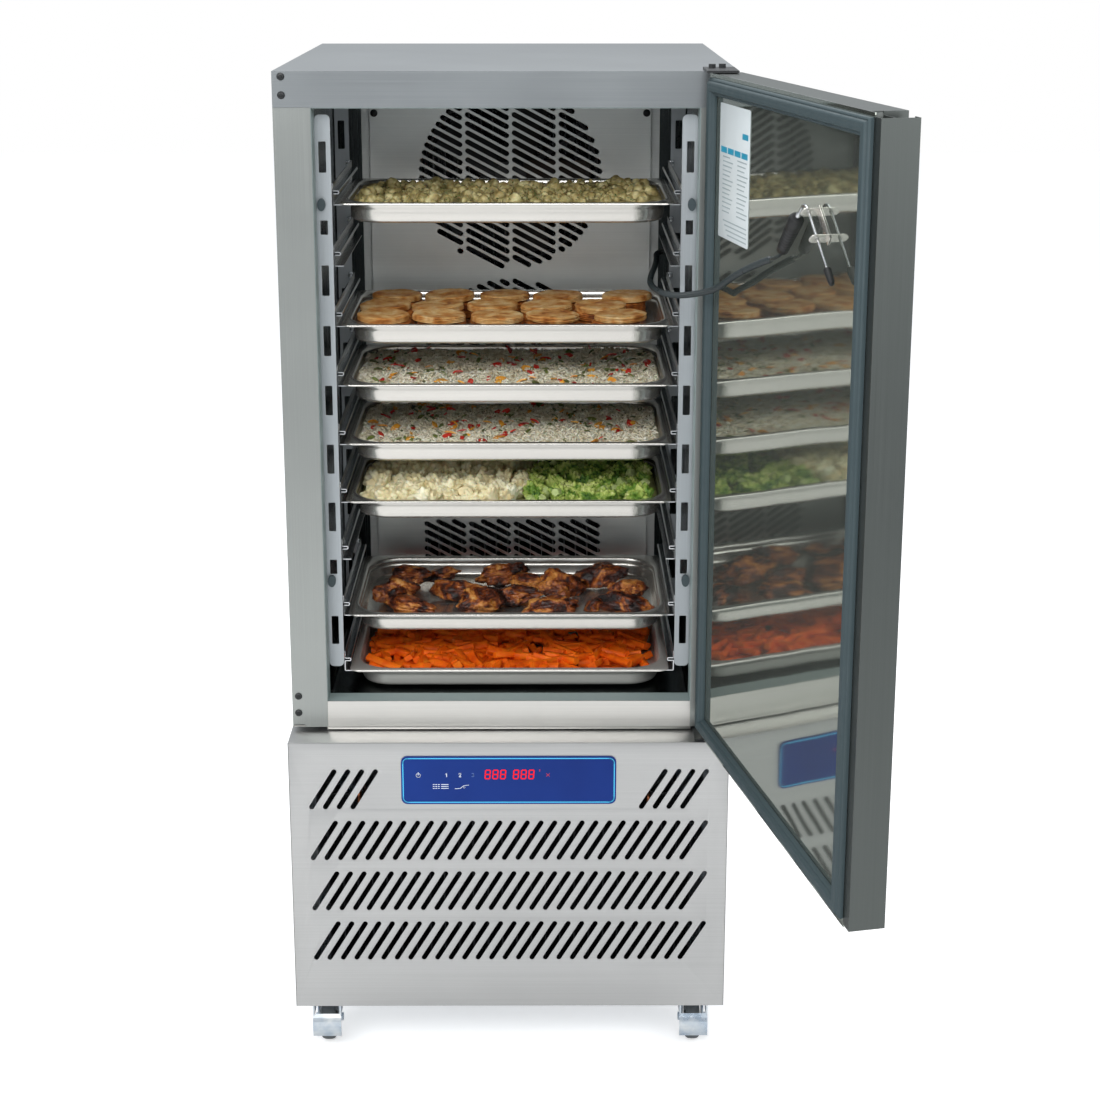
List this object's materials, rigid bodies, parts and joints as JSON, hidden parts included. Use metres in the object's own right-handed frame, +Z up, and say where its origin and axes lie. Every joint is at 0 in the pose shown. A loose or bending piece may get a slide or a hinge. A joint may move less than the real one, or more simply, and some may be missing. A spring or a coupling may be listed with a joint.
{
  "type": "blast chiller",
  "caption": "Upright reach-in blast chiller: insulated steel cabinet on a louvred machine housing, open door with core probe, folded slides with pans, swivel casters.",
  "frame": {"origin": "on the floor plane, at the middle of the cabinet's width and in the plane of the insulated cabinet's front face", "axes": "+Z up, +X to the machine's right as seen from the front, +Y into the machine towards its back"},
  "size_m": [0.8622, 1.4681, 1.6498],
  "materials": {
    "steel": "brushed stainless, satin",
    "bright_steel": "bright rolled stainless, near mirror",
    "rack_steel": "satin stainless folded sheet and strip",
    "zinc": "bright zinc plating",
    "aluminium": "bare fin stock",
    "foam": "rigid foam, hidden inside the walls",
    "grey_plastic": "matt grey moulding",
    "slate_plastic": "matt slate blue-grey",
    "black_plastic": "semi-gloss black",
    "gasket_rubber": "ribbed soft extrusion, slate blue-grey",
    "fascia_blue": "blue front film with a dark border, display part bare",
    "black_paint": "black enamel",
    "wheel_rubber": "grey tread"
  },
  "bodies": {
    "cabinet": {"top_cover": "steel", "side_panel_left": "steel", "side_panel_right": "steel", "rear_panel": "steel", "sill_rail": "steel", "evaporator_cover": "steel", "lower_front_panel": "steel", "lower_wrap": "steel", "inner_liner": "bright_steel", "rack_left": "rack_steel", "rack_right": "rack_steel", "base_frame": "zinc", "evaporator_coil": "aluminium", "condenser_coil": "aluminium", "insulation_foam": "foam", "breaker_frame": "grey_plastic", "cable_gland": "grey_plastic", "rack_knob_left_upper": "slate_plastic", "rack_knob_left_lower": "slate_plastic", "rack_knob_right_upper": "slate_plastic", "rack_knob_right_lower": "slate_plastic", "probe_cable": "slate_plastic", "control_box": "black_plastic", "power_gland": "black_plastic", "control_fascia": "fascia_blue", "evaporator_fan_motor_upper": "black_paint", "evaporator_fan_motor_lower": "black_paint", "hinge_bracket_top": "black_paint", "hinge_bracket_bottom": "black_paint", "compressor": "black_paint", "condenser_fan_shroud": "black_paint", "condenser_fan_motor": "black_paint"},
    "door": {"door_outer_skin": "steel", "door_inner_panel": "bright_steel", "door_foam": "foam", "door_gasket": "gasket_rubber", "probe_handle": "black_plastic", "probe_needle": "bright_steel", "probe_tip_cap": "black_plastic", "probe_holder": "bright_steel"},
    "pan_1": {"pan_level_1": "bright_steel"},
    "pan_3": {"pan_level_3": "bright_steel"},
    "pan_4": {"pan_level_4": "bright_steel"},
    "pan_5": {"pan_level_5": "bright_steel"},
    "pan_6": {"pan_level_6": "bright_steel"},
    "pan_8": {"pan_level_8": "bright_steel"},
    "pan_9": {"pan_level_9": "bright_steel"},
    "evaporator_fan_upper": {"evaporator_fan_blade_upper": "black_plastic"},
    "evaporator_fan_lower": {"evaporator_fan_blade_lower": "black_plastic"},
    "condenser_fan": {"condenser_fan_blade": "aluminium"},
    "caster_front_left": {"caster_fork_front_left": "zinc"},
    "wheel_front_left": {"caster_wheel_front_left": "wheel_rubber"},
    "caster_front_right": {"caster_fork_front_right": "zinc"},
    "wheel_front_right": {"caster_wheel_front_right": "wheel_rubber"},
    "caster_rear_left": {"caster_fork_rear_left": "zinc"},
    "wheel_rear_left": {"caster_wheel_rear_left": "wheel_rubber"},
    "caster_rear_right": {"caster_fork_rear_right": "zinc"},
    "wheel_rear_right": {"caster_wheel_rear_right": "wheel_rubber"},
    "brake_front_left": {"brake_pedal_front_left": "zinc"},
    "brake_front_right": {"brake_pedal_front_right": "zinc"}
  },
  "joints": [
    {"name": "door_hinge", "type": "hinge", "parent": "cabinet", "child": "door", "pos_m": [0.335, -0.035, 1.1], "axis": [0, 0, 1], "range_deg": [-102, 18], "deforming": ["probe_cable"]},
    {"name": "pan_1_slide", "type": "slide", "parent": "cabinet", "child": "pan_1", "axis": [0, -1, 0], "range_m": [0, 0.3]},
    {"name": "pan_3_slide", "type": "slide", "parent": "cabinet", "child": "pan_3", "axis": [0, -1, 0], "range_m": [0, 0.3]},
    {"name": "pan_4_slide", "type": "slide", "parent": "cabinet", "child": "pan_4", "axis": [0, -1, 0], "range_m": [0, 0.3]},
    {"name": "pan_5_slide", "type": "slide", "parent": "cabinet", "child": "pan_5", "axis": [0, -1, 0], "range_m": [0, 0.3]},
    {"name": "pan_6_slide", "type": "slide", "parent": "cabinet", "child": "pan_6", "axis": [0, -1, 0], "range_m": [0, 0.3]},
    {"name": "pan_8_slide", "type": "slide", "parent": "cabinet", "child": "pan_8", "axis": [0, -1, 0], "range_m": [0, 0.3]},
    {"name": "pan_9_slide", "type": "slide", "parent": "cabinet", "child": "pan_9", "axis": [0, -1, 0], "range_m": [0, 0.3]},
    {"name": "evaporator_fan_upper_spin", "type": "hinge", "parent": "cabinet", "child": "evaporator_fan_upper", "pos_m": [0, 0.464, 1.426], "axis": [0, 1, 0], "continuous": true},
    {"name": "evaporator_fan_lower_spin", "type": "hinge", "parent": "cabinet", "child": "evaporator_fan_lower", "pos_m": [0, 0.464, 1.087], "axis": [0, 1, 0], "continuous": true},
    {"name": "condenser_fan_spin", "type": "hinge", "parent": "cabinet", "child": "condenser_fan", "pos_m": [0, 0.054, 0.285], "axis": [0, 1, 0], "continuous": true},
    {"name": "swivel_front_left", "type": "hinge", "parent": "cabinet", "child": "caster_front_left", "pos_m": [-0.311, 0.045, 0.09], "axis": [0, 0, 1], "continuous": true},
    {"name": "roll_front_left", "type": "hinge", "parent": "caster_front_left", "child": "wheel_front_left", "pos_m": [-0.311, 0.017, 0.0375], "axis": [1, 0, 0], "continuous": true},
    {"name": "swivel_front_right", "type": "hinge", "parent": "cabinet", "child": "caster_front_right", "pos_m": [0.311, 0.045, 0.09], "axis": [0, 0, 1], "continuous": true},
    {"name": "roll_front_right", "type": "hinge", "parent": "caster_front_right", "child": "wheel_front_right", "pos_m": [0.311, 0.017, 0.0375], "axis": [1, 0, 0], "continuous": true},
    {"name": "swivel_rear_left", "type": "hinge", "parent": "cabinet", "child": "caster_rear_left", "pos_m": [-0.311, 0.69, 0.09], "axis": [0, 0, 1], "continuous": true},
    {"name": "roll_rear_left", "type": "hinge", "parent": "caster_rear_left", "child": "wheel_rear_left", "pos_m": [-0.311, 0.662, 0.0375], "axis": [1, 0, 0], "continuous": true},
    {"name": "swivel_rear_right", "type": "hinge", "parent": "cabinet", "child": "caster_rear_right", "pos_m": [0.311, 0.69, 0.09], "axis": [0, 0, 1], "continuous": true},
    {"name": "roll_rear_right", "type": "hinge", "parent": "caster_rear_right", "child": "wheel_rear_right", "pos_m": [0.311, 0.662, 0.0375], "axis": [1, 0, 0], "continuous": true},
    {"name": "brake_front_left", "type": "hinge", "parent": "caster_front_left", "child": "brake_front_left", "pos_m": [-0.311, -0.001, 0.076], "axis": [-1, 0, 0], "range_deg": [0, 14]},
    {"name": "brake_front_right", "type": "hinge", "parent": "caster_front_right", "child": "brake_front_right", "pos_m": [0.311, -0.001, 0.076], "axis": [-1, 0, 0], "range_deg": [0, 14]}
  ]
}
